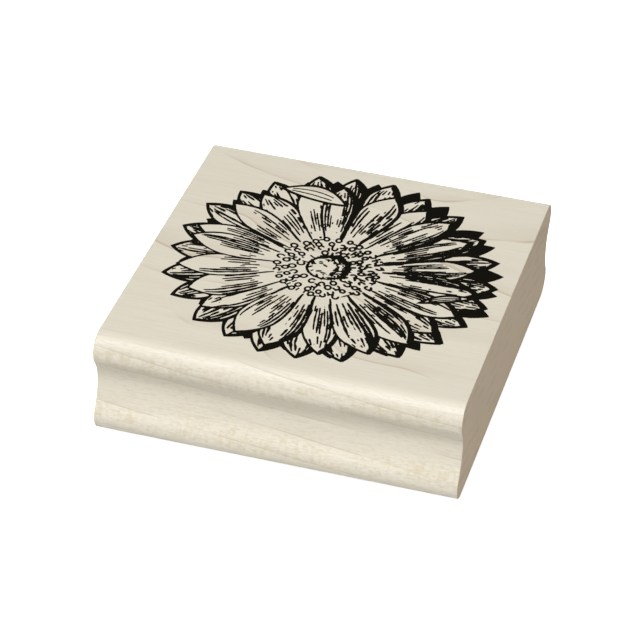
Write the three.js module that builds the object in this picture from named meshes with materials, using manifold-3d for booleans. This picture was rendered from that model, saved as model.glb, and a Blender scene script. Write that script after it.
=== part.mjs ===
// Wood-mounted rubber stamp: a moulded hardwood block with a flower printed on top, and a round
// stack of film, foam, film and rubber die glued under it.
//
// Millimetres, +Z up. The origin is the centre of the footprint, on the plane that the die's
// relief rests on. +X runs along the wood grain, and the moulded grips face -Y and +Y.

import * as THREE from "three";
import Module from "manifold-3d";
import { mergeVertices } from "three/addons/utils/BufferGeometryUtils.js";

// Block: a 3 1/4 in length cut from 3 1/2 in by 1 in moulding.
const BLOCK_LENGTH = 82.55;
const BLOCK_DEPTH = 88.9;
const BLOCK_HEIGHT = 25.4;
const BEAD_RADIUS = 4.2;
const COVE_DEPTH = 2.7;
const COVE_HEIGHT = 13.3;
const ARC_STEPS = 7;

// Stack under the block, from the paper upwards, and the ink on top of it.
const RELIEF_DEPTH = 0.8;
const DIE_FLOOR = 1.2;
const FILM_THICKNESS = 0.125;
const FOAM_THICKNESS = 1.6;
const INK_THICKNESS = 0.1;
const DIE_RADIUS = 36.7;
const DIE_SEGMENTS = 64;

// Flower design, at the size of the picture printed on the block.
const FLOWER_RADIUS = 38.5;
const DIE_SCALE = 0.93;
const PETAL_COUNT = 22;
const PETAL_STEPS = 7;
const PETAL_BASE = 11;
const PETAL_TIP = 35.6;
const PETAL_HALF_WIDTH = 3.1;
const NOTCH_RADIUS = 36.5;
const BACK_PETAL_BASE = 33;
const BACK_PETAL_TIP = 37.3;
const BACK_PETAL_HALF_WIDTH = 1.5;
const FLORET_COUNT = 14;
const FLORET_RADIUS = 1.3;
const FLORET_RING = 7.8;
const FLORET_SIDES = 6;
const DISC_RADIUS = 4.6;
const DISC_SIDES = 20;

// Heights of the layers' lower faces.
const dieFilmZ = RELIEF_DEPTH + DIE_FLOOR;
const foamZ = dieFilmZ + FILM_THICKNESS;
const mountFilmZ = foamZ + FOAM_THICKNESS;
const blockZ = mountFilmZ + FILM_THICKNESS;
const inkZ = blockZ + BLOCK_HEIGHT;

const wasm = await Module();
wasm.setup();

// Turns a closed geometry into a solid that can be joined or cut.
function toSolid(geometry) {
  const bare = geometry.clone();
  bare.deleteAttribute("normal");
  bare.deleteAttribute("uv");
  const merged = mergeVertices(bare, 1e-4);
  const mesh = new wasm.Mesh({
    numProp: 3,
    vertProperties: new Float32Array(merged.attributes.position.array),
    triVerts: new Uint32Array(merged.index.array),
  });
  return new wasm.Manifold(mesh);
}

function toGeometry(solid) {
  const mesh = solid.getMesh();
  const geometry = new THREE.BufferGeometry();
  geometry.setAttribute("position", new THREE.BufferAttribute(mesh.vertProperties, 3));
  geometry.setIndex(new THREE.BufferAttribute(mesh.triVerts, 1));
  geometry.computeVertexNormals();
  return geometry;
}

function makeMaterial(color, roughness) {
  return new THREE.MeshStandardMaterial({ color, roughness, metalness: 0 });
}

function addPiece(group, name, geometry, material, z) {
  const piece = new THREE.Mesh(geometry, material);
  piece.name = name;
  piece.position.z = z;
  group.add(piece);
}

function extrude(shape, depth) {
  return new THREE.ExtrudeGeometry(shape, { depth, bevelEnabled: false, curveSegments: ARC_STEPS });
}

// Points of an arc from one angle to another, both ends included.
function arcPoints(centre, radius, from, to) {
  return Array.from({ length: ARC_STEPS + 1 }, (_, i) => {
    const angle = from + ((to - from) * i) / ARC_STEPS;
    return new THREE.Vector2(centre.x + radius * Math.cos(angle), centre.y + radius * Math.sin(angle));
  });
}

// The cove arc that runs smoothly into a bead and has its deepest point at COVE_HEIGHT.
// x is the inset from the block's outermost plane, y the height.
function coveArc(bead) {
  const rise = Math.abs(COVE_HEIGHT - bead.y);
  const reach = BEAD_RADIUS - COVE_DEPTH;
  const radius = (rise * rise + reach * reach - BEAD_RADIUS * BEAD_RADIUS) / (2 * COVE_DEPTH);
  const centre = new THREE.Vector2(COVE_DEPTH - radius, COVE_HEIGHT);
  const joint = Math.atan2(bead.y - centre.y, bead.x - centre.x);
  return { centre, radius, joint };
}

// One moulded side, from the underside up to the top face, as inset and height.
function gripProfile() {
  const lowBead = new THREE.Vector2(BEAD_RADIUS, BEAD_RADIUS);
  const highBead = new THREE.Vector2(BEAD_RADIUS, BLOCK_HEIGHT - BEAD_RADIUS);
  const lowCove = coveArc(lowBead);
  const highCove = coveArc(highBead);
  return [
    ...arcPoints(lowBead, BEAD_RADIUS, 1.5 * Math.PI, Math.PI + lowCove.joint),
    ...arcPoints(lowCove.centre, lowCove.radius, lowCove.joint, 0).slice(1),
    ...arcPoints(highCove.centre, highCove.radius, 0, highCove.joint).slice(1),
    ...arcPoints(highBead, BEAD_RADIUS, Math.PI + highCove.joint, 0.5 * Math.PI).slice(1),
  ];
}

function blockGeometry() {
  const side = gripProfile();
  const half = BLOCK_DEPTH / 2;
  const front = side.map((p) => new THREE.Vector2(p.x - half, p.y));
  const back = side.map((p) => new THREE.Vector2(half - p.x, p.y)).reverse();
  const section = new THREE.Shape([...front, ...back]);
  const geometry = extrude(section, BLOCK_LENGTH);
  // The section is drawn in depth and height, then stood up so that it runs along X.
  geometry.applyMatrix4(new THREE.Matrix4().set(0, 0, 1, 0, 1, 0, 0, 0, 0, 1, 0, 0, 0, 0, 0, 1));
  geometry.translate(-BLOCK_LENGTH / 2, 0, 0);
  return geometry;
}

// Corners of a regular polygon, counter-clockwise.
function polygonPoints(centre, radius, sides) {
  return Array.from({ length: sides }, (_, i) => {
    const angle = (2 * Math.PI * i) / sides;
    return new THREE.Vector2(centre.x + radius * Math.cos(angle), centre.y + radius * Math.sin(angle));
  });
}

// A flat round sheet of the trimmed stack.
function discGeometry(thickness) {
  return extrude(new THREE.Shape(polygonPoints(new THREE.Vector2(), DIE_RADIUS, DIE_SEGMENTS)), thickness);
}

// Edge of the whole flower: a point for each back petal, and a notch in front of each front petal.
function flowerEdge() {
  return Array.from({ length: 2 * PETAL_COUNT }, (_, i) => {
    const radius = i % 2 ? FLOWER_RADIUS : NOTCH_RADIUS;
    return new THREE.Vector2(radius, 0).rotateAround(new THREE.Vector2(), (Math.PI * i) / PETAL_COUNT);
  });
}

// Bare inside of a front petal along +X: narrow at the base, widest past the middle, pointed at the tip.
function petalInside() {
  const edge = Array.from({ length: PETAL_STEPS - 1 }, (_, i) => {
    const along = (i + 1) / PETAL_STEPS;
    const halfWidth = PETAL_HALF_WIDTH * Math.sin(Math.PI * along ** 1.5) ** 0.8;
    return new THREE.Vector2(THREE.MathUtils.lerp(PETAL_BASE, PETAL_TIP, along), halfWidth);
  });
  const otherEdge = edge.map((p) => new THREE.Vector2(p.x, -p.y));
  const base = new THREE.Vector2(PETAL_BASE, 0);
  const tip = new THREE.Vector2(PETAL_TIP, 0);
  return [base, ...otherEdge, tip, ...edge.reverse()];
}

function backPetalInside() {
  const middle = (BACK_PETAL_BASE + BACK_PETAL_TIP) / 2;
  return [
    new THREE.Vector2(BACK_PETAL_BASE, 0),
    new THREE.Vector2(middle, -BACK_PETAL_HALF_WIDTH),
    new THREE.Vector2(BACK_PETAL_TIP, 0),
    new THREE.Vector2(middle, BACK_PETAL_HALF_WIDTH),
  ];
}

// Copies of a hole turned about the flower's centre, the first one by offset steps.
function holesAround(points, count, offset) {
  return Array.from({ length: count }, (_, i) => {
    const angle = (2 * Math.PI * (i + offset)) / count;
    return new THREE.Path(points.map((p) => p.clone().rotateAround(new THREE.Vector2(), angle)));
  });
}

// The flower as one connected network of lines: its outline with the bare areas left open.
function flowerGeometry(depth) {
  const flower = new THREE.Shape(flowerEdge());
  const floret = polygonPoints(new THREE.Vector2(FLORET_RING, 0), FLORET_RADIUS, FLORET_SIDES);
  flower.holes.push(
    ...holesAround(petalInside(), PETAL_COUNT, 0),
    ...holesAround(backPetalInside(), PETAL_COUNT, 0.5),
    ...holesAround(floret, FLORET_COUNT, 0),
    new THREE.Path(polygonPoints(new THREE.Vector2(), DISC_RADIUS, DISC_SIDES)),
  );
  return extrude(flower, depth);
}

// The relief reaches into the floor sheet before the join, so both are one piece of rubber.
function dieGeometry() {
  const floor = discGeometry(DIE_FLOOR).translate(0, 0, RELIEF_DEPTH);
  const relief = flowerGeometry(RELIEF_DEPTH + DIE_FLOOR / 2).scale(DIE_SCALE, DIE_SCALE, 1);
  return toGeometry(toSolid(floor).add(toSolid(relief)));
}

const maple = makeMaterial(0xe6dcc6, 0.55);
const ink = makeMaterial(0x14120f, 0.6);
const film = makeMaterial(0xe9e6dc, 0.4);
const foam = makeMaterial(0xd9d7d1, 0.9);
const rubber = makeMaterial(0x9c4a3c, 0.7);

const stamp = new THREE.Group();
addPiece(stamp, "wood_block", blockGeometry(), maple, blockZ);
addPiece(stamp, "index_print", flowerGeometry(INK_THICKNESS), ink, inkZ);
addPiece(stamp, "mounting_adhesive", discGeometry(FILM_THICKNESS), film, mountFilmZ);
addPiece(stamp, "foam_cushion", discGeometry(FOAM_THICKNESS), foam, foamZ);
addPiece(stamp, "die_adhesive", discGeometry(FILM_THICKNESS), film, dieFilmZ);
addPiece(stamp, "rubber_die", dieGeometry(), rubber, 0);

export default stamp;
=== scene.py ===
"""Looks of a wood-mounted rubber stamp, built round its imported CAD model.

The maple block, the flower printed on it, and the stack glued under it (film, foam, film, rubber
die) are made here as meshes with procedural materials. Lengths are in metres in Blender; the
flower is drawn in millimetres and scaled when its mesh is made.
"""

import math
from types import SimpleNamespace

import bpy
import numpy as np
from mathutils import Matrix, Vector
from mathutils.geometry import delaunay_2d_cdt


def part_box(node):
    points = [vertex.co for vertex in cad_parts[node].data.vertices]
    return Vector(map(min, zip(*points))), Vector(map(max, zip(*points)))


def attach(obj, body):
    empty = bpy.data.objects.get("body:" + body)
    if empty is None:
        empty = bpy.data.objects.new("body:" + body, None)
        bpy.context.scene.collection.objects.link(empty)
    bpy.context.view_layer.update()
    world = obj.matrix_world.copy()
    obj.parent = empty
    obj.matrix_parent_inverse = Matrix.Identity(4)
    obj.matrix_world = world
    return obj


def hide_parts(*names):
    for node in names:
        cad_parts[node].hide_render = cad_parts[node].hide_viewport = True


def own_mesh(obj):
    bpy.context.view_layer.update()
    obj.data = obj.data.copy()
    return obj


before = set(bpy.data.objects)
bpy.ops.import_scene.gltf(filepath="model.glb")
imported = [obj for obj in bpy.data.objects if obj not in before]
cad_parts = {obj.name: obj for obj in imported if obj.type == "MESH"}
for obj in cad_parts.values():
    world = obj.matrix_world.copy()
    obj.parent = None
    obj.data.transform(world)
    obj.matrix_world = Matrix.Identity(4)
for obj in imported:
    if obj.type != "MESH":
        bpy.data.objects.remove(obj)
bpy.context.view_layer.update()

MM = 0.001

# Camera: a long lens to the right of the front, looking down on the block. Lens and sensor in mm.
CAMERA_PLACE = Vector((134.97, -523.74, 387.55)) * MM
CAMERA_AIM = Vector((-2.86, 4.06, 10.56)) * MM
CAMERA_ROLL = math.radians(2.34)
CAMERA_LENS = 160.94
SENSOR_WIDTH = 36.0

# Moulding, as in the CAD section. The cove is deepest at its height above the block's underside.
BEAD_RADIUS = 4.2 * MM
COVE_DEPTH = 2.7 * MM
COVE_HEIGHT = 13.3 * MM
SUPPORT = 0.4 * MM           # how far inside a bead the flat faces get a line of points of their own
EDGE_SOFTENING = 0.22 * MM   # radius of the sawn ends' edges
ARC_STEPS = 16

# Print on the block, and the die, whose relief is the same flower a little smaller.
INK_THICKNESS = 0.04 * MM
DIE_SCALE = 0.93
PRINT_STEP = 0.07            # mm between the cells that the print is drawn on
DIE_STEP = 0.14              # mm, the same for the die
SIMPLIFY = 0.012             # mm that an outline may move when points are dropped

# Stack under the block.
TRIM_RADIUS = 36.4 * MM
TRIM_WAVE = 0.22 * MM
TRIM_STEPS = 240
RELIEF_DEPTH = 0.8 * MM
FOAM_BULGE = 0.004           # share of the radius that the foam's edge draws in above and below

# Studio. Places and sizes are in metres, powers in watts.
FLOOR_REACH = 6.0
FLOOR_LIFT = 0.92            # how bright the floor glows for the camera alone
WORLD_STRENGTH = 0.11
LIGHT_AIM = Vector((0, 0, 0.015))
LIGHTS = [
    {"name": "key", "place": (0, -1.10, 1.905), "size": (0.6, 0.6), "power": 43.0},
    {"name": "top", "place": (0, 0, 2.2), "size": (1.8, 1.8), "power": 2.8},
    {"name": "back", "place": (0, 1.56, 1.56), "size": (1.4, 1.4), "power": 3.8},
    {"name": "back_fill", "place": (-0.2, 0.8, 0.016), "size": (1.2, 0.024), "power": 1.6},
]


# ---- the printed flower, drawn as a field: positive is ink, negative is bare; lengths in mm ----

FLOWER_RADIUS = 38.5             # tips of the back row
HEART = np.array((-0.75, -1.3))  # how far the flower's centre lies off the middle of its outline
SHADOW = np.radians(14)          # the side of each petal that the light leaves dark
TREMBLE = (2.9, 4.3, 5.9, 7.7, 9.1, 6.1, 11.3, 13.5, 8.3)  # waves in drawn edges, radians per mm
FINEST_STROKE = 0.2              # strokes thinner than this are left out
INK_SPREAD = 0.06                # creep of the ink over each edge
EDGE_REACH = 0.1                 # distance from an edge beyond which the field is flat
SEAM = 0.06                      # overlap of touching strokes, so that no hairline is left

# Rows of petals, each drawn over the one before it. base and tip are where a petal starts and
# ends, width is half its breadth, and bend how far its tip may lean aside. widest is where it is
# broadest along its length, and neck the breadth of its base, both as shares. jitter and turn are
# in steps of the row.
DEEP_ROW = {"count": 24, "base": 24.0, "tip": 38.6, "width": 3.1, "widest": 0.5, "neck": 0.8,
            "jitter": 0.12, "turn": 0.95, "bend": 0.4}
BACK_ROW = {"count": 24, "base": 20.0, "tip": 38.0, "width": 4.1, "widest": 0.6, "neck": 0.8,
            "jitter": 0.14, "turn": 0.45, "bend": 0.6}
FRONT_ROW = {"count": 22, "base": 11.6, "tip": 34.6, "width": 4.45, "widest": 0.62, "neck": 0.46,
             "jitter": 0.15, "turn": 0.0, "bend": 1.2}
DEEP_ROW_DIP = 2.2               # half of how much shorter the deep petals get towards the light
BACK_SHADOW = 0.4                # how far the silhouettes of the two back rows are moved
FRONT_SHADOW = 0.42
BACK_LINE = 0.6                  # outlines
FRONT_LINE = 0.46
GROUND_RADIUS = 24.0             # dark ground between the front petals

# Where the hatching of a row starts, and how far its faintest and darkest strokes reach, as
# shares of the petal's length.
FRONT_HATCH = {"start": (0.07, 0.17), "reach": (0.38, 0.98)}
BACK_HATCH = {"start": (0.0, 0.1), "reach": (0.72, 0.97)}

# The petal tip that folds over, and the petal edge that turns up: the whole leaf's measures.
CURLED_TIP = {"middle": (-11.5, 27.2), "length": 16.5, "width": 5.4, "turn": np.radians(-8)}
TURNED_EDGE = {"middle": (28.2, -4.8), "length": 11.5, "width": 2.4, "turn": np.radians(24)}

# The centre: rows of florets, as radius and count, round a domed disc.
CENTRE_RADIUS = 11.9
FLORET_ROWS = ((11.4, 27), (9.7, 23), (8.0, 19), (6.4, 15))
FLORET_SIZE = (0.88, 1.05)
FLORET_LINE = 0.44
COLLAR_RADIUS = 5.0
DOME_RADIUS = 4.6
DOME_DASHES = 34


def wrap(angle):
    return (angle + np.pi) % (2 * np.pi) - np.pi


def shadow_share(angle):
    """How far a direction points into the shadow, from 0 to 1."""
    return np.cos(angle - SHADOW) * 0.5 + 0.5


class Sheet:
    """A square grid over the picture with the ink field drawn so far."""

    def __init__(self, step):
        self.step = step
        self.axis = np.arange(-FLOWER_RADIUS - 1, FLOWER_RADIUS + 1, step)
        across, up = np.meshgrid(self.axis, self.axis)
        lean = np.clip(1 - (across**2 + up**2) / FLOWER_RADIUS**2, 0, 1)
        self.x = across - HEART[0] * lean
        self.y = up - HEART[1] * lean
        self.radius = np.hypot(self.x, self.y)
        self.angle = np.arctan2(self.y, self.x)
        self.ink = np.full(self.x.shape, -1.0)
        # The tremble of a hand-cut edge, about -1 to 1.
        self.rough = np.zeros(self.x.shape)
        for number, waves in enumerate(TREMBLE):
            heading = 2.4 * number
            along = self.x * np.cos(heading) + self.y * np.sin(heading)
            self.rough += np.sin(along * waves + 5 * waves) / 4.5

    def window(self, x, y, reach):
        """The part of the grid within reach of a place, as slices of rows and columns."""
        reach += abs(HEART).max()
        first = [int(max((c - reach - self.axis[0]) / self.step, 0)) for c in (x, y)]
        last = [int(max((c + reach - self.axis[0]) / self.step + 2, 0)) for c in (x, y)]
        return slice(first[1], last[1]), slice(first[0], last[0])

    def add(self, part, where=...):
        self.ink[where] = np.maximum(self.ink[where], part)

    def clear(self, part, where=...):
        self.ink[where] = np.minimum(self.ink[where], -part)


class Petal:
    """One petal along a ray from the centre, with its measures as in a row."""

    def __init__(self, angle, base, tip, width, widest, neck, bend):
        self.angle = angle
        self.base = base
        self.tip = tip
        self.width = width
        self.widest = widest
        self.neck = neck
        self.bend = bend

    def half_width(self, along):
        """Half the petal's breadth: a narrow neck, widest past the middle, pointed tip."""
        rise = np.sin(np.pi / 2 * np.clip(along / self.widest, 0, 1)) ** 1.2
        fall = 1 - (np.clip(along - self.widest, 0, 9) / (1 - self.widest)) ** 2
        return self.width * np.where(along < self.widest, self.neck + (1 - self.neck) * rise, fall)

    def spot(self, sheet, shift=(0, 0)):
        """The cells near the petal, with their place along it, across it, and inside its edge."""
        length = self.tip - self.base
        middle = (self.base + self.tip) / 2
        middle_x = middle * np.cos(self.angle) + shift[0]
        middle_y = middle * np.sin(self.angle) + shift[1]
        where = sheet.window(middle_x, middle_y, length / 2 + self.width)
        x = sheet.x[where] - shift[0]
        y = sheet.y[where] - shift[1]
        radius = np.hypot(x, y)
        turn = wrap(np.arctan2(y, x) - self.angle)
        along = (radius - self.base) / length
        across = radius * turn - self.bend * np.clip(along, 0, 1.2) ** 2
        half = self.half_width(along)
        slope = (self.half_width(along + 0.01) - self.half_width(along - 0.01)) / (0.02 * length)
        inside = (half - abs(across)) / np.sqrt(1 + slope**2)
        inside = np.minimum(inside, radius - self.base)
        inside = np.where(abs(turn) < 1, inside, -1)
        return SimpleNamespace(where=where, along=along, across=across, half=half, inside=inside)


def row_of_petals(rng, count, base, tip, width, widest, neck, jitter, turn, bend):
    petals = []
    for i in range(count):
        angle = 2 * np.pi * (i + turn + rng.normal(0, jitter)) / count
        petals.append(Petal(angle, base, tip + rng.uniform(-1.0, 0.6), width * rng.uniform(0.9, 1.1),
                            widest + rng.uniform(-0.04, 0.04), neck, rng.uniform(-bend, bend)))
    return petals


def draw_silhouette(sheet, petal, distance):
    """The petal's shadow: its outline filled with ink, moved away from the light."""
    shift = (distance * np.cos(SHADOW), distance * np.sin(SHADOW))
    spot = petal.spot(sheet, shift)
    beyond_base = 8 * (spot.along - 0.09)
    sheet.add(np.minimum(spot.inside + 0.04 * sheet.rough[spot.where], beyond_base), spot.where)


def outline_width(sheet, petal, spot, line, shade):
    """Width of the petal's outline: heavier on its dark side and towards its tip."""
    dark = shadow_share(petal.angle + np.sign(spot.across) * np.pi / 2)
    tip_dark = np.clip(np.cos(petal.angle - SHADOW), 0, 1) * np.clip(spot.along * 3 - 2, 0, 1)
    tip = np.clip(spot.along * 2.5 - 1.5, 0, 1)
    weight = 0.7 + shade * dark**2 + 0.5 * shade * tip_dark + 0.5 * tip
    thin_base = np.clip((spot.along + 0.05) / 0.15, 0.3, 1)
    return line * weight * thin_base + 0.05 * sheet.rough[spot.where]


def dark_side(petal):
    """1 or -1: the side of the petal, across it, that lies in the shadow."""
    return np.sign(np.cos(petal.angle + np.pi / 2 - SHADOW))


def bundle(places, centre, spread):
    """How dark each lane is near the middle of a bundle of strokes, from 0 to 1."""
    return np.clip(1.25 - abs(places - centre) / spread, 0, 1)


def lane_darkness(petal, lanes, rng):
    """How dark each lane is: a bundle of strokes on the petal's dark side, a fainter one opposite."""
    places = ((np.arange(lanes) + 0.5) / lanes * 2 - 1) * dark_side(petal)
    main = bundle(places, rng.uniform(0.35, 0.7), rng.uniform(0.35, 0.6))
    faint = 0.7 * bundle(places, rng.uniform(-0.7, -0.1), rng.uniform(0.15, 0.4))
    darkness = np.maximum(main, faint) * rng.uniform(0.7, 1.0)
    mean = 0.04 + 0.06 * np.cos(petal.angle - SHADOW)
    return np.clip(darkness + rng.normal(mean, 0.1, lanes), 0, 1)


def body_strokes(petal, lanes, shade, hatch, rng):
    """One long stroke for each lane; in the lightest lanes it stays short."""
    darkness = lane_darkness(petal, lanes, rng)
    low, high = hatch["reach"]
    starts = rng.uniform(*hatch["start"], lanes) + np.where(np.arange(lanes) % 2 == 0, 0.0, 0.1)
    ends = low + (high - low) * darkness * rng.uniform(0.8, 1.1) + rng.normal(0, 0.07, lanes)
    shares = 0.43 + 0.45 * shade * darkness**2 + rng.uniform(-0.1, 0.1, lanes)
    ends = np.where(darkness < 0.12, starts + rng.uniform(0.1, 0.38, lanes), ends)
    dashed = rng.random(lanes) < 0.16
    return SimpleNamespace(starts=starts, ends=ends, shares=shares, dashed=dashed)


def tip_strokes(lanes, rng):
    """Short strokes near the petal's tip."""
    starts = rng.uniform(0.62, 0.8, lanes)
    ends = rng.uniform(0.86, 0.98, lanes)
    dashed = rng.random(lanes) < 0.5
    return SimpleNamespace(starts=starts, ends=ends, shares=np.full(lanes, 0.5), dashed=dashed)


def hatch_field(petal, spot, strokes, rng):
    """Strokes that follow the petal's length, one in each lane, tapered towards their ends."""
    lanes = len(strokes.starts)
    phase = rng.uniform(0, 6.3, lanes)
    pace = rng.uniform(3.0, 9.0, lanes)
    place = np.clip(spot.across / np.maximum(spot.half, 0.3), -1.2, 1.2)
    lane = np.clip(((place + 1) / 2 * lanes).astype(int), 0, lanes - 1)
    wave = 0.25 / lanes * np.sin(7 * spot.along + phase[lane])
    centre = (lane + 0.5) / lanes * 2 - 1
    distance = abs(place + wave - centre) * spot.half
    pitch = 2 * spot.half / lanes
    rise = np.clip((spot.along - strokes.starts[lane]) / 0.05, 0, 1)
    fall = np.clip((strokes.ends[lane] - spot.along) / 0.16, 0, 1) ** 0.5
    run = spot.along * (petal.tip - petal.base)
    beat = np.sin(run * 2 * np.pi / pace[lane] + phase[lane])
    keep = np.where(strokes.dashed[lane], np.clip(1.7 + 2.4 * beat, -0.3, 1), 1)
    swell = 1 + 0.2 * np.sin(run * 1.7 + 2.3 * phase[lane])
    stroke = strokes.shares[lane] * pitch * rise * fall * keep * swell
    return np.where(stroke > FINEST_STROKE, stroke / 2 - 0.01 - distance, -1)


def crease_field(petal, spot, depth, rng):
    """A ragged dark crease along the middle of the petal."""
    middle = rng.uniform(-0.15, 0.35) * dark_side(petal)
    swell = np.clip((spot.along - 0.3) / 0.12, 0, 1) * np.clip((0.78 - spot.along) / 0.2, 0, 1)
    ragged = 0.55 + 0.45 * np.sin(spot.along * 40 + petal.angle * 30) * np.sin(spot.along * 23)
    return (depth + 0.15) * swell * ragged - 0.2 - abs(spot.across - middle * spot.half)


def draw_petal(sheet, petal, line, shade, hatch, lanes, rng, crease=0.0, tip_lanes=0):
    """Paints one petal over what is already there: bare, with an outline and hatching."""
    spot = petal.spot(sheet)
    outline = outline_width(sheet, petal, spot, line, shade)
    art = hatch_field(petal, spot, body_strokes(petal, lanes, shade, hatch, rng), rng)
    if crease:
        art = np.maximum(art, crease_field(petal, spot, crease, rng))
    if tip_lanes:
        art = np.maximum(art, hatch_field(petal, spot, tip_strokes(tip_lanes, rng), rng))
    around = np.minimum(sheet.ink[spot.where], -spot.inside)
    band = np.minimum(spot.inside + SEAM, outline - spot.inside)
    filling = np.minimum(art + 0.05 * sheet.rough[spot.where], spot.inside - outline + SEAM)
    filling = np.minimum(filling, spot.inside)
    sheet.ink[spot.where] = np.maximum(np.maximum(around, band), filling)


def draw_curl(sheet, rng, middle, length, width, turn):
    """A petal's tip or edge that has folded over: a leaf shape with an outline and two strokes."""
    where = sheet.window(*middle, length / 2 + 1)
    x = sheet.x[where] - middle[0]
    y = sheet.y[where] - middle[1]
    along = x * np.cos(turn) + y * np.sin(turn)
    bow = 0.3 * width * np.cos(np.pi * along / length)
    across = y * np.cos(turn) - x * np.sin(turn) - bow
    share = np.clip(2 * along / length, -1.2, 1.2)
    half = width / 2 * (1 - share**2)
    inside = (half - abs(across)) / np.hypot(1, 2 * width * share / length)
    sheet.add(inside + 0.35, where)
    sheet.clear(inside - 0.3, where)
    for offset in (-0.36, 0.24):
        reach = 0.31 * length - abs(along - rng.uniform(-1, 1))
        stroke = 0.12 + 0.05 * sheet.rough[where] - abs(across - offset * half)
        sheet.add(np.minimum(stroke, reach), where)


def draw_floret(sheet, x, y, size, line, gap, facing):
    """A small ring, left open on one side where its gap has a width."""
    where = sheet.window(x, y, size + 1)
    dx = sheet.x[where] - x
    dy = sheet.y[where] - y
    outwards = dx * np.cos(facing) + dy * np.sin(facing)
    sideways = dy * np.cos(facing) - dx * np.sin(facing)
    out = np.hypot(outwards, sideways * 1.18)
    sheet.clear(size - out, where)
    stroke = line / 2 - abs(out - size + line / 2)
    gap_middle, gap_width = gap
    if gap_width > 0:
        turned = wrap(np.arctan2(dy, dx) - facing - gap_middle)
        stroke = np.minimum(stroke, (abs(turned) - gap_width) * size)
    sheet.add(stroke, where)


def draw_tick(sheet, near, far, angle, width):
    """A short bar along a ray, between two radii."""
    middle = (near + far) / 2
    where = sheet.window(middle * np.cos(angle), middle * np.sin(angle), far - near + 1)
    turn = wrap(sheet.angle[where] - angle)
    reach = (far - near) / 2 - abs(sheet.radius[where] - middle)
    sheet.add(np.minimum(width / 2 - abs(sheet.radius[where] * turn), reach), where)


def draw_florets(sheet, rng):
    """Rows of small rings, each with a tick beside it or outside it here and there."""
    for number, (radius, count) in enumerate(FLORET_ROWS):
        for i in range(count):
            angle = 2 * np.pi * (i + 0.5 * number + rng.normal(0, 0.09)) / count
            far = radius + rng.normal(0, 0.2)
            dark = shadow_share(angle)
            gap = (rng.uniform(-1, 1) * np.pi, rng.choice([0, 0, 0.5, 0.9]))
            if rng.random() < 0.93:
                size = rng.uniform(*FLORET_SIZE)
                x, y = far * np.cos(angle), far * np.sin(angle)
                draw_floret(sheet, x, y, size, FLORET_LINE + 0.12 * dark**2, gap, angle)
            if rng.random() < 0.15 + 0.3 * dark:
                draw_tick(sheet, far - 1.1, far + 0.1, angle + np.pi / count, 0.25 + 0.3 * dark)
            if rng.random() < 0.4 * dark:
                draw_tick(sheet, far + 0.5, far + 1.1, angle + rng.normal(0, 0.07), 0.3 + 0.25 * dark)


def draw_dome(sheet, rng):
    """The disc in the middle: a ring, a crescent of shadow, and short dashes over it."""
    where = sheet.window(0, 0, DOME_RADIUS + 2.4)
    x = sheet.x[where]
    y = sheet.y[where]
    rough = sheet.rough[where]
    out = np.hypot(x, y * 1.04)
    sheet.clear(DOME_RADIUS + 0.3 - out, where)
    sheet.add(0.25 + 0.1 * rough - abs(out - DOME_RADIUS), where)
    from_light = np.hypot(x + 1.0, y - 0.1)
    sheet.add(np.minimum(DOME_RADIUS - out, from_light - 4.55 + 0.6 * rough), where)
    inner_arc = 0.2 - abs(from_light - 3.4 + 0.3 * rough)
    shaded_half = x * np.cos(SHADOW) + y * np.sin(SHADOW) + 2.4 * rough
    sheet.add(np.minimum(inner_arc, shaded_half), where)
    for _ in range(DOME_DASHES):
        far = 4.3 * rng.uniform(0.04, 1) ** 0.5
        angle = rng.uniform(-np.pi, np.pi)
        dx = x - far * np.cos(angle)
        dy = y - far * np.sin(angle)
        lean = rng.uniform(0, np.pi)
        along = (dx * np.cos(lean) + dy * np.sin(lean)) * 0.4
        across = dy * np.cos(lean) - dx * np.sin(lean)
        sheet.add(rng.uniform(0.12, 0.3) - np.hypot(along, across), where)


def draw_centre(sheet, rng):
    """Florets round a domed disc, bare between them but for a dark collar round the dome."""
    edge = CENTRE_RADIUS + 0.5 * np.sin(sheet.angle * 9)
    sheet.clear(edge - sheet.radius)
    collar = COLLAR_RADIUS + 0.6 * np.cos(sheet.angle - 0.9) + 0.35 * sheet.rough
    sheet.add(collar - sheet.radius)
    draw_florets(sheet, rng)
    draw_dome(sheet, rng)


def draw_back_rows(sheet, back, deep, rng):
    """The petals that show between the tips of the front row, on their own dark silhouettes."""
    for petal in deep:
        petal.tip += DEEP_ROW_DIP * (np.cos(petal.angle - SHADOW) - 1)
    for petal in deep + back:
        draw_silhouette(sheet, petal, BACK_SHADOW)
    for i in rng.permutation(len(back)):
        lanes = int(rng.integers(8, 10))
        draw_petal(sheet, back[i], BACK_LINE, 0.9, BACK_HATCH, lanes, rng, tip_lanes=6)


def draw_front_row(sheet, front, rng):
    """The long petals, darker where they point away from the light, on dark ground."""
    edge = GROUND_RADIUS + 2.2 * np.cos(sheet.angle - SHADOW) + 0.9 * sheet.rough
    sheet.add(np.minimum(edge - sheet.radius, sheet.radius - 13.2))
    for petal in front:
        draw_silhouette(sheet, petal, FRONT_SHADOW)
    for i in rng.permutation(len(front)):
        away = np.cos(front[i].angle - SHADOW)
        crease = 0.3 + 0.25 * away if rng.random() < 0.6 else 0.0
        tip_lanes = 8 if rng.random() < 0.5 else 0
        lanes = int(rng.integers(9, 13))
        line = FRONT_LINE + 0.1 * away
        shade = 0.75 + 0.25 * away
        draw_petal(sheet, front[i], line, shade, FRONT_HATCH, lanes, rng, crease, tip_lanes)


def without_hairs(ink):
    """The field without the lines and gaps that are thinner than about two cells."""
    near = np.clip(ink, -EDGE_REACH, EDGE_REACH)
    for axis in (0, 1):
        near = (np.roll(near, 1, axis) + near + np.roll(near, -1, axis)) / 3
    return near


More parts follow.
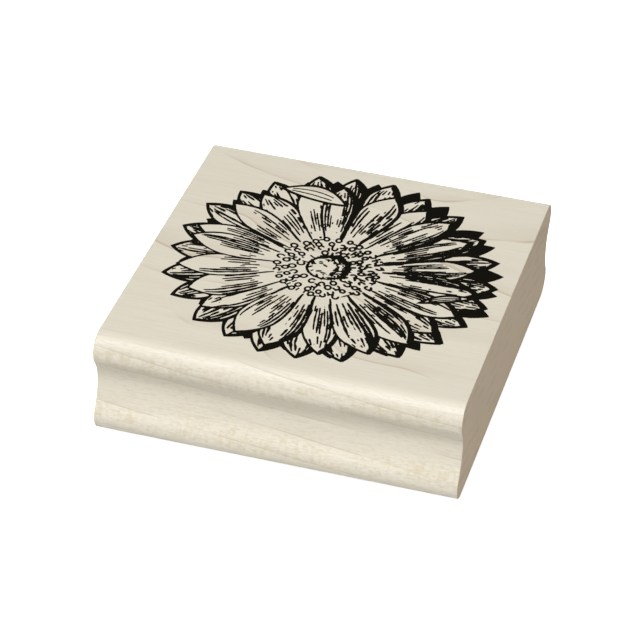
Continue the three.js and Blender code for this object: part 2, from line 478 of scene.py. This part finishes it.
def draw_flower(step):
    """The whole flower on a grid of that step."""
    rng = np.random.default_rng(11)
    sheet = Sheet(step)
    front = row_of_petals(rng, **FRONT_ROW)
    back = row_of_petals(rng, **BACK_ROW)
    deep = row_of_petals(rng, **DEEP_ROW)
    draw_back_rows(sheet, back, deep, rng)
    draw_front_row(sheet, front, rng)
    draw_curl(sheet, rng, **CURLED_TIP)
    draw_curl(sheet, rng, **TURNED_EDGE)
    draw_centre(sheet, rng)
    sheet.ink = without_hairs(sheet.ink + INK_SPREAD)
    return sheet


# ---- outlines of the drawn field and flat meshes from them ----


def crossing_points(field, axis):
    """Where the field changes sign along grid lines, with the crossing's number on each grid edge."""
    inside = field > 0
    along_x = inside[:, :-1] != inside[:, 1:]
    along_y = inside[:-1] != inside[1:]
    number_x = np.where(along_x, np.cumsum(along_x.ravel()).reshape(along_x.shape) - 1, -1)
    count_x = int(along_x.sum())
    number_y = np.where(along_y, np.cumsum(along_y.ravel()).reshape(along_y.shape) - 1 + count_x, -1)
    step = axis[1] - axis[0]
    row, column = np.nonzero(along_x)
    share = field[row, column] / (field[row, column] - field[row, column + 1])
    points_x = np.column_stack((axis[column] + step * share, axis[row]))
    row, column = np.nonzero(along_y)
    share = field[row, column] / (field[row, column] - field[row + 1, column])
    points_y = np.column_stack((axis[column], axis[row] + step * share))
    return inside, number_x, number_y, np.concatenate((points_x, points_y))


def crossing_links(field, inside, number_x, number_y):
    """Pairs of crossings that an outline joins within a cell, as in marching squares."""
    sides = np.stack((number_x[:-1], number_y[:, 1:], number_x[1:], number_y[:, :-1]), -1)
    count = (sides >= 0).sum(-1)
    simple = np.sort(sides[count == 2], -1)[:, 2:]
    saddle = sides[count == 4]
    middle = (field[:-1, :-1] + field[1:, :-1] + field[:-1, 1:] + field[1:, 1:])[count == 4] > 0
    joined = inside[:-1, :-1][count == 4] == middle
    pairs_if_joined = saddle[joined][:, [2, 3, 0, 1]]
    pairs_if_parted = saddle[~joined][:, [3, 0, 1, 2]]
    return np.concatenate((simple, pairs_if_joined.reshape(-1, 2), pairs_if_parted.reshape(-1, 2)))


def contour_loops(field, axis):
    """Closed outlines of the places where the field is positive."""
    inside, number_x, number_y, points = crossing_points(field, axis)
    links = crossing_links(field, inside, number_x, number_y)
    ends = np.concatenate((links, links[:, ::-1]))
    ends = ends[np.argsort(ends[:, 0], kind="stable")]
    neighbours = ends[:, 1].reshape(-1, 2).tolist()
    loops = []
    seen = [False] * len(points)
    for start in range(len(points)):
        if seen[start]:
            continue
        loop = []
        here, before = start, -1
        while not seen[here]:
            seen[here] = True
            loop.append(here)
            first, second = neighbours[here]
            here, before = (second if first == before else first), here
        loops.append(points[loop])
    return loops


def simplified(loop, tolerance, passes=4):
    """Drops every other point that lies close to the line between its neighbours, a few times."""
    for _ in range(passes):
        if len(loop) < 8:
            break
        before, after = np.roll(loop, 1, 0), np.roll(loop, -1, 0)
        chord = after - before
        reach = np.hypot(*chord.T) + 1e-9
        offset = loop - before
        away = abs(chord[:, 0] * offset[:, 1] - chord[:, 1] * offset[:, 0]) / reach
        droppable = (away < tolerance) & (np.arange(len(loop)) % 2 == 1)
        loop = loop[~droppable]
    return loop


def face_edges(face):
    """The edges of a face, each as its lower and its higher point."""
    return [(min(a, b), max(a, b)) for a, b in zip(face, face[1:] + face[:1])]


def kinds_inside(faces, walls):
    """For each face, which kinds of outline it is inside, as a sum of powers of two.

    The search starts at a face on the outer rim, and each wall it crosses adds or takes away the
    wall's kinds.
    """
    neighbours = {}
    for number, face in enumerate(faces):
        for edge in face_edges(face):
            neighbours.setdefault(edge, []).append(number)
    rim_edge, rim_faces = next(item for item in neighbours.items() if len(item[1]) == 1)
    start = rim_faces[0]
    kinds = [None] * len(faces)
    kinds[start] = walls.get(rim_edge, 0)
    waiting = [start]
    while waiting:
        number = waiting.pop()
        for edge in face_edges(faces[number]):
            for other in neighbours[edge]:
                if kinds[other] is None:
                    kinds[other] = kinds[number] ^ walls.get(edge, 0)
                    waiting.append(other)
    return np.array(kinds)


def flat_triangles(loops_by_kind):
    """Triangles between closed outlines, and which kinds of outline each triangle is inside."""
    points, edges, edge_kind = [], [], []
    for kind, loops in enumerate(loops_by_kind):
        for loop in loops:
            first, size = len(points), len(loop)
            points.extend(Vector(p) for p in loop.tolist())
            edges.extend((first + i, first + (i + 1) % size) for i in range(size))
            edge_kind.extend([kind] * size)
    vertices, made_edges, faces, _, origins, _ = delaunay_2d_cdt(points, edges, [], 0, 1e-7)
    walls = {}
    for (a, b), origin in zip(made_edges, origins):
        edge = (min(a, b), max(a, b))
        for number in origin:
            walls[edge] = walls.get(edge, 0) ^ (1 << edge_kind[number])
    return np.array([v[:] for v in vertices]), np.array(faces), kinds_inside(faces, walls)


def rim_edges(triangles):
    """Edges with a triangle on one side only, running as in that triangle."""
    directed = np.concatenate((triangles[:, [0, 1]], triangles[:, [1, 2]], triangles[:, [2, 0]]))
    known = {(a, b) for a, b in directed.tolist()}
    return np.array([(a, b) for a, b in directed.tolist() if (b, a) not in known])


def facing_up(points, triangles):
    """The triangles, each turned so that it faces up."""
    a, b, c = (points[triangles[:, i]] for i in range(3))
    up = (b[:, 0] - a[:, 0]) * (c[:, 1] - a[:, 1]) - (b[:, 1] - a[:, 1]) * (c[:, 0] - a[:, 0])
    return np.where((up < 0)[:, None], triangles[:, ::-1], triangles)


def make_object(name, vertices, faces, material, smooth=False):
    """A mesh object of those faces in one material, linked into the scene."""
    mesh = bpy.data.meshes.new(name)
    mesh.from_pydata([tuple(v) for v in vertices], [], [tuple(f) for f in faces])
    mesh.materials.append(material)
    mesh.polygons.foreach_set("use_smooth", [smooth] * len(mesh.polygons))
    mesh.update()
    made = bpy.data.objects.new(name, mesh)
    bpy.context.scene.collection.objects.link(made)
    return made


def tube_faces(size, rings):
    """Faces through rings of that many points each: quads between rings, and a cap at each end."""
    faces = []
    for start in range(0, (rings - 1) * size, size):
        for i in range(size):
            after = (i + 1) % size
            faces.append((start + i, start + after, start + size + after, start + size + i))
    last = (rings - 1) * size
    faces.append(tuple(reversed(range(size))))
    faces.append(tuple(range(last, last + size)))
    return faces


def slab(points, triangles, low, high):
    """A closed slab of that flat shape between two heights, as vertices and faces."""
    used, renumbered = np.unique(triangles, return_inverse=True)
    triangles = renumbered.reshape(triangles.shape)
    count = len(used)
    levels = [np.column_stack((points[used], np.full(count, z))) for z in (high, low)]
    faces = triangles.tolist() + (triangles[:, ::-1] + count).tolist()
    faces += [(b, a, a + count, b + count) for a, b in rim_edges(triangles).tolist()]
    return np.concatenate(levels), faces


# ---- materials ----


class Nodes:
    """Short ways to add shader nodes to one material."""

    def __init__(self, name):
        self.material = bpy.data.materials.new(name)
        self.material.use_nodes = True
        self.tree = self.material.node_tree
        self.shader = self.tree.nodes["Principled BSDF"]

    def add(self, kind, inputs=(), **settings):
        node = self.tree.nodes.new(kind)
        for name, value in settings.items():
            setattr(node, name, value)
        for socket, value in dict(inputs).items():
            self.set(node, socket, value)
        return node

    def set(self, node, socket, value):
        if isinstance(value, bpy.types.NodeSocket):
            self.tree.links.new(value, node.inputs[socket])
        else:
            node.inputs[socket].default_value = value

    def place(self, stretch=(1, 1, 1)):
        """The object's own coordinates in mm, divided by a length for each axis."""
        here = self.add("ShaderNodeTexCoord").outputs["Object"]
        scale = [1 / (MM * s) for s in stretch]
        inputs = {"Vector": here, "Scale": scale}
        return self.add("ShaderNodeMapping", inputs, vector_type="POINT").outputs["Vector"]

    def axes(self, vector):
        return self.add("ShaderNodeSeparateXYZ", {"Vector": vector}).outputs

    def noise(self, stretch, detail=2.0, roughness=0.5, distortion=0.0):
        inputs = {"Vector": self.place(stretch), "Scale": 1.0, "Detail": detail,
                  "Roughness": roughness, "Distortion": distortion}
        return self.add("ShaderNodeTexNoise", inputs).outputs["Fac"]

    def math(self, operation, a, b=0.0, c=0.0):
        return self.add("ShaderNodeMath", {0: a, 1: b, 2: c}, operation=operation).outputs[0]

    def product(self, first, *others):
        for other in others:
            first = self.math("MULTIPLY", first, other)
        return first

    def band(self, value, low, high):
        """0 below low and 1 above high, smooth between; the other way round if low is the larger."""
        inputs = {"Value": value, "From Min": low, "From Max": high, "To Min": 0.0, "To Max": 1.0}
        return self.add("ShaderNodeMapRange", inputs, interpolation_type="SMOOTHSTEP").outputs["Result"]

    def mix(self, share, a, b):
        inputs = {0: share, 6: a, 7: b}
        return self.add("ShaderNodeMix", inputs, data_type="RGBA").outputs[2]

    def finish(self, color, roughness, bump=None, height=0.0):
        self.set(self.shader, "Base Color", color)
        self.set(self.shader, "Roughness", roughness)
        if bump is not None:
            inputs = {"Height": bump, "Distance": height, "Strength": 1.0}
            self.set(self.shader, "Normal", self.add("ShaderNodeBump", inputs).outputs["Normal"])
        return self.material


def facing(nodes, axis):
    """How squarely the surface faces along an axis of the object, either way."""
    normal = nodes.add("ShaderNodeTexCoord").outputs["Normal"]
    return nodes.math("ABSOLUTE", nodes.axes(normal)[axis])


def growth_rings(nodes, slope, pitch, sway, wander, swerve=0.0):
    """Growth rings where they meet the surface: a shade that ends in a thin dark line.

    slope says how fast the rings are crossed along X, Y and Z, pitch how far apart they are. They
    sway by so many mm in waves of the size wander. Towards the back right corner they swerve away
    from the grain, as round a branch.
    """
    here = nodes.place()
    x, y, _ = nodes.axes(here)
    level = nodes.add("ShaderNodeVectorMath", {0: here, 1: slope}, operation="DOT_PRODUCT")
    waves = nodes.noise(wander, detail=2.0, roughness=0.4)
    level = nodes.math("MULTIPLY_ADD", waves, sway, level.outputs["Value"])
    past = nodes.math("MAXIMUM", nodes.math("SUBTRACT", x, 14.0), 0.0)
    corner = nodes.product(past, nodes.band(y, 8.0, 40.0))
    level = nodes.math("MULTIPLY_ADD", corner, -swerve, level)
    phase = nodes.math("FRACT", nodes.math("DIVIDE", level, pitch))
    line = nodes.product(nodes.band(phase, 0.06, 0.0), nodes.band(phase, -0.02, 0.015))
    shade = nodes.math("POWER", nodes.math("SUBTRACT", 1.0, phase), 3.0)
    ring = nodes.math("MULTIPLY_ADD", shade, 0.35, nodes.product(line, 0.65))
    return nodes.product(ring, nodes.band(nodes.noise((30, 7, 7), detail=1.0), 0.36, 0.6))


def side_masks(nodes, side):
    """Where the figure shows on a moulded side, and where a painted highlight lightens it: both beads,
    and the flanks that lead to them.
    """
    height = nodes.axes(nodes.place())["Z"]
    cove_height = (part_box("wood_block")[0].z + COVE_HEIGHT) / MM
    from_cove = nodes.math("ABSOLUTE", nodes.math("SUBTRACT", height, cove_height))
    beads = nodes.product(nodes.band(from_cove, 3.0, 6.0), side)
    flanks = nodes.product(nodes.band(from_cove, 10.8, 8.8), beads)
    return beads, flanks


def long_grain(nodes, side, nap, fibre):
    """Colour of the top and the moulded sides: fibre, streaks, flecks and growth rings, with a painted
    highlight on the beads.
    """
    beads, flanks = side_masks(nodes, side)
    broad = nodes.noise((45, 12, 9), detail=2.0)
    streak = nodes.noise((8, 0.6, 0.5), detail=2.0, roughness=0.45, distortion=0.2)
    fleck = nodes.noise((1.2, 0.55, 0.5), detail=2.5, roughness=0.6)
    ray = nodes.noise((1.0, 3.0, 3.4), detail=1.5, roughness=0.5)
    patch = nodes.noise((11, 4, 2.2), detail=2.0)
    figure = nodes.product(nodes.band(patch, 0.3, 0.56), flanks)
    fleck_strength = nodes.math("MULTIPLY_ADD", figure, 0.6, 0.1)
    top_rings = growth_rings(nodes, (0.3, 1.0, 0.0), 13.0, 24.0, (40, 24, 24), swerve=0.7)
    side_rings = growth_rings(nodes, (0.09, 0.0, 1.0), 4.9, 2.6, (55, 11, 11))
    top = nodes.math("SUBTRACT", 1.0, side)
    color = nodes.mix(broad, (0.79, 0.735, 0.605, 1), (0.76, 0.71, 0.595, 1))
    layers = [
        # painted highlight: the beads are lightened towards white, as a sheen where they face the light
        ((beads, 0.7), (0.85, 0.80, 0.685, 1)),
        ((nodes.band(fibre, 0.40, 0.72), 0.24), (0.62, 0.55, 0.43, 1)),
        ((nodes.band(streak, 0.64, 0.80), 0.4), (0.76, 0.60, 0.44, 1)),
        ((nodes.band(fleck, 0.42, 0.66), fleck_strength), (0.70, 0.62, 0.43, 1)),
        ((nodes.band(ray, 0.5, 0.64), figure, 0.42), (0.68, 0.59, 0.39, 1)),
        ((nodes.band(nap, 0.48, 0.68), side, 0.4), (0.62, 0.56, 0.45, 1)),
        ((top_rings, top, 0.9), (0.55, 0.43, 0.31, 1)),
        ((side_rings, side, 0.7), (0.50, 0.42, 0.31, 1)),
    ]
    for shares, tint in layers:
        color = nodes.mix(nodes.product(*shares), color, tint)
    return color


def end_grain(nodes):
    """Colour of the sawn ends: darker, with fine pores and growth rings close together."""
    pores = nodes.noise((0.7, 0.25, 0.25), detail=3.0, roughness=0.7)
    rings = growth_rings(nodes, (0.0, 0.2, 1.0), 3.1, 5.0, (30, 18, 18))
    color = nodes.mix(nodes.band(pores, 0.3, 0.7), (0.66, 0.53, 0.367, 1), (0.76, 0.61, 0.425, 1))
    return nodes.mix(nodes.product(rings, 0.7), color, (0.42, 0.33, 0.22, 1))


def make_maple():
    """Pale maple with its grain along X, a little rougher on the moulded sides and the sawn ends."""
    nodes = Nodes("maple")
    end = nodes.band(facing(nodes, "X"), 0.55, 0.9)
    side = nodes.band(facing(nodes, "Y"), 0.15, 0.75)
    fibre = nodes.noise((12, 0.3, 0.3), detail=3.0, roughness=0.6)
    nap = nodes.noise((1.6, 0.35, 0.35), detail=2.0, roughness=0.6)
    color = nodes.mix(end, long_grain(nodes, side, nap, fibre), end_grain(nodes))
    nodes.set(nodes.shader, "Specular IOR Level", 0.7)
    roughness = nodes.math("MULTIPLY_ADD", end, 0.3, nodes.math("MULTIPLY_ADD", side, 0.1, 0.47))
    relief = nodes.math("MULTIPLY_ADD", nodes.product(nap, side), 2.6, fibre)
    return nodes.finish(color, roughness, relief, 0.015 * MM)


def make_ink():
    """Matt black ink, a little thinner in places."""
    nodes = Nodes("ink")
    thin = nodes.noise((0.5, 0.22, 0.22), detail=3.0, roughness=0.65)
    thin = nodes.band(thin, 0.35, 0.75)
    color = nodes.mix(thin, (0.0042, 0.0033, 0.0016, 1), (0.0077, 0.0062, 0.0036, 1))
    nodes.set(nodes.shader, "Specular IOR Level", 0.06)
    return nodes.finish(color, 0.8)


def make_rubber():
    """Brick-red moulded rubber with a fine grit."""
    nodes = Nodes("rubber")
    tone = nodes.noise((6, 6, 6), detail=3.0)
    color = nodes.mix(tone, (0.30, 0.062, 0.042, 1), (0.37, 0.085, 0.056, 1))
    grit = nodes.noise((0.12, 0.12, 0.12), detail=2.0)
    return nodes.finish(color, 0.62, grit, 0.012 * MM)


def make_foam():
    """Grey closed-cell foam."""
    nodes = Nodes("foam")
    inputs = {"Vector": nodes.place((0.22, 0.22, 0.22)), "Scale": 1.0}
    cells = nodes.add("ShaderNodeTexVoronoi", inputs).outputs["Distance"]
    color = nodes.mix(nodes.band(cells, 0.1, 0.7), (0.50, 0.49, 0.46, 1), (0.64, 0.63, 0.60, 1))
    return nodes.finish(color, 0.95, cells, 0.05 * MM)


def make_film():
    """Yellowish double-sided adhesive film."""
    nodes = Nodes("adhesive_film")
    tone = nodes.noise((5, 5, 5), detail=2.0)
    color = nodes.mix(tone, (0.74, 0.71, 0.62, 1), (0.80, 0.78, 0.70, 1))
    return nodes.finish(color, 0.35)


# ---- the block ----


def arc(centre, radius, start, end):
    """Points of an arc, without its last one."""
    angles = start + (end - start) * np.arange(ARC_STEPS) / ARC_STEPS
    return centre + radius * np.column_stack((np.cos(angles), np.sin(angles)))


def cove_arc(bead):
    """Centre and radius of the cove that runs smoothly into a bead, and the angle where they meet."""
    rise = abs(COVE_HEIGHT - bead[1])
    reach = BEAD_RADIUS - COVE_DEPTH
    radius = (rise**2 + reach**2 - BEAD_RADIUS**2) / (2 * COVE_DEPTH)
    centre = np.array((COVE_DEPTH - radius, COVE_HEIGHT))
    offset = bead - centre
    return centre, radius, math.atan2(offset[1], offset[0])


def grip_profile(height):
    """The moulded side from the underside to the top, as inset from the outermost plane and height."""
    low_bead = np.array((BEAD_RADIUS, BEAD_RADIUS))
    high_bead = np.array((BEAD_RADIUS, height - BEAD_RADIUS))
    low_centre, low_radius, low_joint = cove_arc(low_bead)
    high_centre, high_radius, high_joint = cove_arc(high_bead)
    return np.concatenate((
        [(BEAD_RADIUS + SUPPORT, 0.0)],
        arc(low_bead, BEAD_RADIUS, -math.pi / 2, low_joint - math.pi),
        arc(low_centre, low_radius, low_joint, 0.0),
        arc(high_centre, high_radius, 0.0, high_joint),
        arc(high_bead, BEAD_RADIUS, high_joint + math.pi, math.pi / 2),
        [(BEAD_RADIUS, height), (BEAD_RADIUS + SUPPORT, height)],
    ))


def shrunk(section, amount):
    """A closed section moved inwards by an amount at every point."""
    along = np.roll(section, -1, 0) - np.roll(section, 1, 0)
    along /= np.linalg.norm(along, axis=1)[:, None]
    return section + amount * np.column_stack((along[:, 1], -along[:, 0]))


def rounded_edge(x):
    """Places along X near a sawn end at x, each with how far the section shrinks there."""
    places = [(x - 2 * EDGE_SOFTENING, 0.0)]
    for turn in np.linspace(0, math.pi / 2, 4):
        inset = EDGE_SOFTENING * (1 - math.sin(turn))
        places.append((x - inset, EDGE_SOFTENING * (1 - math.cos(turn))))
    return places


def make_block():
    """The maple block: its section run along X, with the sawn ends' edges slightly softened."""
    low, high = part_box("wood_block")
    side = grip_profile(high.z - low.z)
    front = np.column_stack((low.y + side[:, 0], low.z + side[:, 1]))
    back = np.column_stack((high.y - side[:, 0], low.z + side[:, 1]))[::-1]
    section = np.concatenate((front, back))
    right = rounded_edge(high.x)
    left = [(-x, amount) for x, amount in reversed(right)]
    vertices = []
    for x, amount in left + right:
        vertices += [(x, y, z) for y, z in shrunk(section, amount)]
    faces = [face[::-1] for face in tube_faces(len(section), len(left + right))]
    block = make_object("maple_block", vertices, faces, make_maple(), smooth=True)
    for cap in block.data.polygons[-2:]:
        cap.use_smooth = False
    return block


# ---- the print and the stack under the block ----


def flower_outlines(step, scale):
    """Outlines of the drawn flower's inked parts, drawn on cells of that step, then scaled."""
    sheet = draw_flower(step)
    loops = [simplified(loop, SIMPLIFY) for loop in contour_loops(sheet.ink, sheet.axis)]
    return [loop * MM * scale for loop in loops if len(loop) > 3]


def make_print():
    """The flower on the top face, as a thin film of ink."""
    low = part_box("index_print")[0]
    points, triangles, inked = flat_triangles([flower_outlines(PRINT_STEP, 1.0)])
    triangles = facing_up(points, triangles[inked > 0])
    vertices, faces = slab(points, triangles, low.z, low.z + INK_THICKNESS)
    return make_object("flower_print", vertices, faces, make_ink())


def trim_outline(radius, rng):
    """The edge of a sheet cut round by hand: a circle with slight waves."""
    angles = np.linspace(0, 2 * math.pi, TRIM_STEPS, endpoint=False)
    waves = sum(rng.normal(0, 1 / n) * np.sin(n * angles + rng.uniform(0, 6)) for n in range(2, 9))
    edge = radius + TRIM_WAVE * waves / max(abs(waves))
    return np.column_stack((edge * np.cos(angles), edge * np.sin(angles)))


def make_die(trim):
    """The rubber die: the flower's raised lines face down from a thin floor of rubber."""
    low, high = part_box("rubber_die")
    floor = low.z + RELIEF_DEPTH
    outlines = flower_outlines(DIE_STEP, DIE_SCALE)
    points, triangles, kinds = flat_triangles([outlines, [trim]])
    triangles = facing_up(points, triangles)
    raised = triangles[(kinds & 1) > 0]
    sunk = triangles[kinds == 2]
    whole = triangles[kinds > 0]
    count = len(points)
    levels = [np.column_stack((points, np.full(count, z))) for z in (low.z, floor, high.z)]
    faces = raised[:, ::-1].tolist()
    faces += (sunk[:, ::-1] + count).tolist()
    faces += (whole + 2 * count).tolist()
    faces += [(a, b, b + count, a + count) for a, b in rim_edges(raised).tolist()]
    outer_rim = rim_edges(whole) + count
    faces += [(a, b, b + count, a + count) for a, b in outer_rim.tolist()]
    return make_object("rubber_die_relief", np.concatenate(levels), faces, make_rubber())


def make_sheet(name, node, trim, material, bulge=0.0):
    """A trimmed sheet of the stack, with its cut edge straight or a little rounded."""
    low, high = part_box(node)
    rings = 9 if bulge else 2
    vertices = []
    for share in np.linspace(-1, 1, rings):
        scale = 1 - bulge * (1 - math.sqrt(max(0.0, 1 - abs(share) ** 3)))
        z = (low.z + high.z) / 2 + share * (high.z - low.z) / 2
        vertices += [(x * scale, y * scale, z) for x, y in trim]
    return make_object(name, vertices, tube_faces(len(trim), rings), material)


# ---- studio ----


def make_floor():
    """A pale floor that reads white to the camera and keeps a faint contact shadow."""
    mesh = bpy.data.meshes.new("studio_floor")
    signs = ((-1, -1), (1, -1), (1, 1), (-1, 1))
    corners = [(x * FLOOR_REACH, y * FLOOR_REACH, 0) for x, y in signs]
    mesh.from_pydata(corners, [], [(0, 1, 2, 3)])
    floor = bpy.data.objects.new("studio_floor", mesh)
    bpy.context.scene.collection.objects.link(floor)
    nodes = Nodes("studio_floor")
    nodes.set(nodes.shader, "Emission Color", (1, 1, 1, 1))
    camera_ray = nodes.add("ShaderNodeLightPath").outputs["Is Camera Ray"]
    nodes.set(nodes.shader, "Emission Strength", nodes.math("MULTIPLY", camera_ray, FLOOR_LIFT))
    nodes.set(nodes.shader, "Specular IOR Level", 0.0)
    mesh.materials.append(nodes.finish((0.8, 0.8, 0.8, 1), 0.9))


def add_light(name, place, size, power):
    """A soft rectangular light aimed at the middle of the block."""
    lamp = bpy.data.lights.new(name, "AREA")
    lamp.shape = "RECTANGLE"
    lamp.size, lamp.size_y = size
    lamp.energy = power
    lamp_object = bpy.data.objects.new(name, lamp)
    lamp_object.location = place
    lamp_object.visible_camera = False
    aim = LIGHT_AIM - Vector(place)
    lamp_object.rotation_euler = aim.to_track_quat("-Z", "Y").to_euler()
    bpy.context.scene.collection.objects.link(lamp_object)


def light_studio():
    """A dim white world that the camera sees as white, and the lights."""
    world = bpy.data.worlds.new("studio")
    world.use_nodes = True
    tree = world.node_tree
    sky = tree.nodes["Background"]
    sky.inputs["Color"].default_value = (1, 1, 1, 1)
    seen = tree.nodes.new("ShaderNodeLightPath").outputs["Is Camera Ray"]
    strength = tree.nodes.new("ShaderNodeMapRange")
    strength.inputs["To Min"].default_value = WORLD_STRENGTH
    tree.links.new(seen, strength.inputs["Value"])
    tree.links.new(strength.outputs["Result"], sky.inputs["Strength"])
    bpy.context.scene.world = world
    for light in LIGHTS:
        add_light(**light)


def place_camera():
    lens = bpy.data.cameras.new("camera")
    lens.lens = CAMERA_LENS
    lens.sensor_width = SENSOR_WIDTH
    camera = bpy.data.objects.new("camera", lens)
    turned = (CAMERA_AIM - CAMERA_PLACE).to_track_quat("-Z", "Y").to_matrix().to_4x4()
    roll = Matrix.Rotation(CAMERA_ROLL, 4, "Z")
    camera.matrix_world = Matrix.Translation(CAMERA_PLACE) @ turned @ roll
    bpy.context.scene.collection.objects.link(camera)
    bpy.context.scene.camera = camera


# ---- the object ----


def build():
    """Makes every piece, hangs it on the empty of the body it rides on, and hides the CAD node it
    stands for.
    """
    rng = np.random.default_rng(5)
    trim = trim_outline(TRIM_RADIUS, rng)
    block = make_block()
    flower = make_print()
    mount_film = make_sheet("mounting_film", "mounting_adhesive", trim, make_film())
    foam = make_sheet("foam_cushion_sheet", "foam_cushion", trim, make_foam(), bulge=FOAM_BULGE)
    die_film = make_sheet("die_film", "die_adhesive", trim, make_film())
    die = make_die(trim)
    stack = [
        (block, "block", "wood_block", "maple"),
        (flower, "block", "index_print", "ink"),
        (mount_film, "block", "mounting_adhesive", "adhesive_film"),
        (foam, "block", "foam_cushion", "foam"),
        (die_film, "die", "die_adhesive", "adhesive_film"),
        (die, "die", "rubber_die", "rubber"),
    ]
    for piece, body, node, slot in stack:
        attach(piece, body)
        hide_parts(node)
    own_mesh(foam)


build()
make_floor()
light_studio()
place_camera()
bpy.context.scene.view_settings.view_transform = "Standard"
